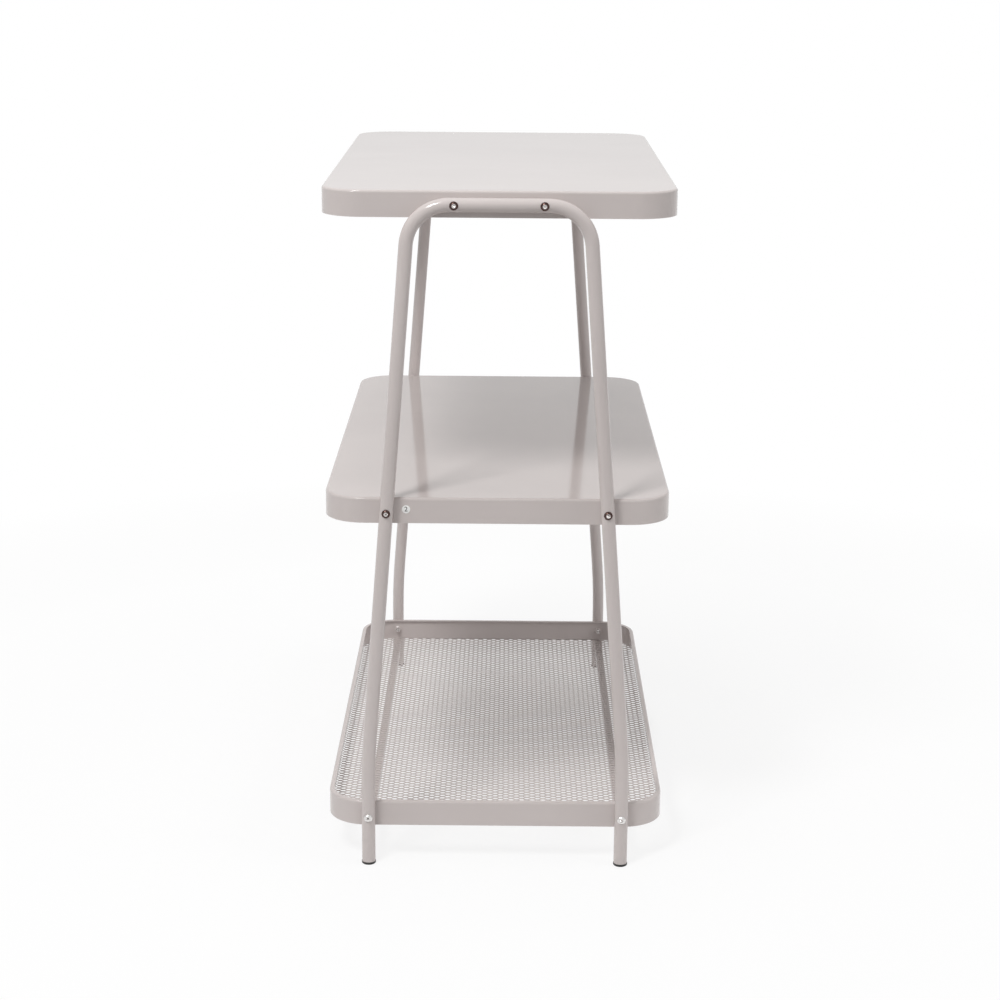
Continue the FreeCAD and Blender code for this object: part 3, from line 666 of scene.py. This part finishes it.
# The last colour is painted: the dark brown of the heads' painted reflection and painted shade.
zinc_dark, zinc_light, painted_dark_brown = (0.68, 0.66, 0.65, 1), (0.84, 0.825, 0.81, 1), (0.075, 0.045, 0.040, 1)
scratch_scale, scratch_depth = 3000.0, 0.000004
basket_below, trays_above, lower_two_below, top_above = 0.2, 0.3, 0.6, 0.7
zinc, tree, shell = new_finish("zinc_plate")
spot = own_place(tree)
blotch = noise(tree, spot, blotch_scale, detail=4.0)
scratch = noise(tree, spot, scratch_scale, detail=2.0)
plated = mix_colours(tree, stretch(tree, blotch, *blotch_range, 0.0, 1.0), zinc_dark, zinc_light)
tier = add_node(tree, "ShaderNodeSeparateXYZ", {0: spot}).outputs["Z"]
# Painted dark rim, a painted reflection, on the trays' heads only.
painted_dark_rim = add_node(tree, "ShaderNodeAttribute", attribute_name="painted_dark_rim").outputs["Fac"]
painted_dark_rim = maths(tree, "MULTIPLY", painted_dark_rim, stretch(tree, tier, basket_below, trays_above, 0.0, 1.0))
# Painted shade in the sockets, on the lower two tiers only.
painted_socket_shade = add_node(tree, "ShaderNodeAttribute", attribute_name="painted_socket_shade").outputs["Fac"]
painted_socket_shade = maths(tree, "MULTIPLY", painted_socket_shade, stretch(tree, tier, lower_two_below, top_above, 1.0, 0.0))
bump = add_node(tree, "ShaderNodeBump", {"Height": scratch, "Distance": scratch_depth})
set_inputs(shell, {
    "Base Color": mix_colours(tree, maths(tree, "MAXIMUM", painted_dark_rim, painted_socket_shade), plated, painted_dark_brown),
    "Roughness": stretch(tree, blotch, *gloss_range, *zinc_roughness), "Metallic": 1.0,
    "Normal": bump.outputs["Normal"]})
low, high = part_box("screws_top_front")
screw_length = (high.y - low.y) - (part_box("front_hoop")[0].y - low.y)
screws = set_fasteners("screws", "screws", make_screw(screw_length), head_radius, tube_face, zinc, seed=5)

# Nuts: twelve M5 hexagon nuts, welded to the inner face of skirt or rim and powder coated with it.
# Their free corners are turned down, and each weld leaves a low fillet round the foot.
nut_width, nut_height, nut_bore, bore_bevel = 0.0080, 0.0040, 0.00255, 0.0004
weld_spread, weld_shoulder, shoulder_height, weld_height = 0.0011, 0.0004, 0.00025, 0.0006
turned_from, turned_flat, turned_angle = 0.97, 0.96, math.radians(30)


def make_nut():
    """A nut that hangs from the level plane, its foot at zero and its chamfered face below."""
    nut = bmesh.new()
    turned_down = []
    for reach, _ in hexagon_ring(nut_width, 0):
        cut_back = max(0.0, reach - nut_width / 2 * turned_from) * math.tan(turned_angle)
        turned_down.append((reach, -nut_height + cut_back))
    lathe(nut, [
        round_ring(nut_bore, 0), hexagon_ring(nut_width + weld_spread, 0),
        hexagon_ring(nut_width + weld_shoulder, -shoulder_height), hexagon_ring(nut_width, -weld_height),
        turned_down, round_ring(nut_width / 2 * turned_flat, -nut_height),
        round_ring(nut_bore + bore_bevel, -nut_height), round_ring(nut_bore, -nut_height + bore_bevel)],
        closed=True)
    return finished_mesh(nut, "nut")


def inner_wall(end, low, high):
    """The inner face of the skirt or rim that a nut is welded to."""
    return low.y if end == "front" else high.y


nuts = set_fasteners("weld_nuts", "nuts", make_nut(), nut_width / math.sqrt(3), inner_wall, rim_paint, seed=2)

# Number label: a small round label of white vinyl with a plain printed 2, stuck on the middle tray's
# front skirt, beside the left leg. It tells the fitter which tray goes where.
label_radius, label_thickness, label_steps = 0.0048, 0.00012, 48
label_across, label_up = -0.1044, 0.0164
worn_edge, face_share = 0.7, 0.985
digit_height, capital_share, ink_thickness, ink_spread = 0.0056, 0.7, 0.00001, 0.00004
mottle_scale, mottle_range, mottle_darkness, sheen_spread = 1500.0, (0.3, 0.7), 0.9, 0.12
tray_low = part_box("middle_tray")[0]
label_place = Vector((label_across, tray_low.y, tray_low.z + label_up))
disc = bmesh.new()
rings = []
for reach, out in ((label_radius, 0), (label_radius, label_thickness * worn_edge),
                   (label_radius * face_share, label_thickness)):
    turns = [2 * math.pi * n / label_steps for n in range(label_steps)]
    rings.append([disc.verts.new(label_place + Vector((reach * math.cos(turn), -out, reach * math.sin(turn))))
                  for turn in turns])
for ring, outer in zip(rings, rings[1:]):
    for n in range(label_steps):
        after = (n + 1) % label_steps
        disc.faces.new((ring[n], ring[after], outer[after], outer[n]))
disc.faces.new(rings[-1])
disc.faces.new(rings[0][::-1])
label = put_in_scene("number_label", finished_mesh(disc, "number_label"))

print_line = bpy.data.curves.new("label_digit", "FONT")
print_line.body = "2"
print_line.size = digit_height / capital_share
print_line.extrude = ink_thickness
print_line.offset = ink_spread
print_line.align_x, print_line.align_y = "CENTER", "CENTER"
digit_mesh = plain_copy(put_in_scene("label_digit_source", print_line), "label_digit")
digit_mesh.transform(Matrix.Translation(label_place - Vector((0, label_thickness + ink_thickness, 0)))
                     @ Matrix.Rotation(math.pi / 2, 4, "X"))
digit = put_in_scene("label_digit", digit_mesh)


def printed(name, colour, roughness):
    """Vinyl or ink: one tone with a fine mottle and an uneven sheen."""
    film, tree, shell = new_finish(name)
    mottle = noise(tree, own_place(tree), mottle_scale, detail=2.0)
    darker = tuple(part * mottle_darkness for part in colour) + (1,)
    set_inputs(shell, {
        "Base Color": mix_colours(tree, mottle, darker, (*colour, 1)),
        "Roughness": stretch(tree, mottle, *mottle_range, roughness, roughness + sheen_spread)})
    return film


label.data.materials.append(printed("white_vinyl", colour=(0.95, 0.95, 0.94), roughness=0.3))
digit.data.materials.clear()
digit.data.materials.append(printed("black_ink", colour=(0.06, 0.055, 0.055), roughness=0.5))
for piece in (label, digit):
    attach(piece, "root")

# Closing: the view layer is brought up to date.
bpy.context.view_layer.update()
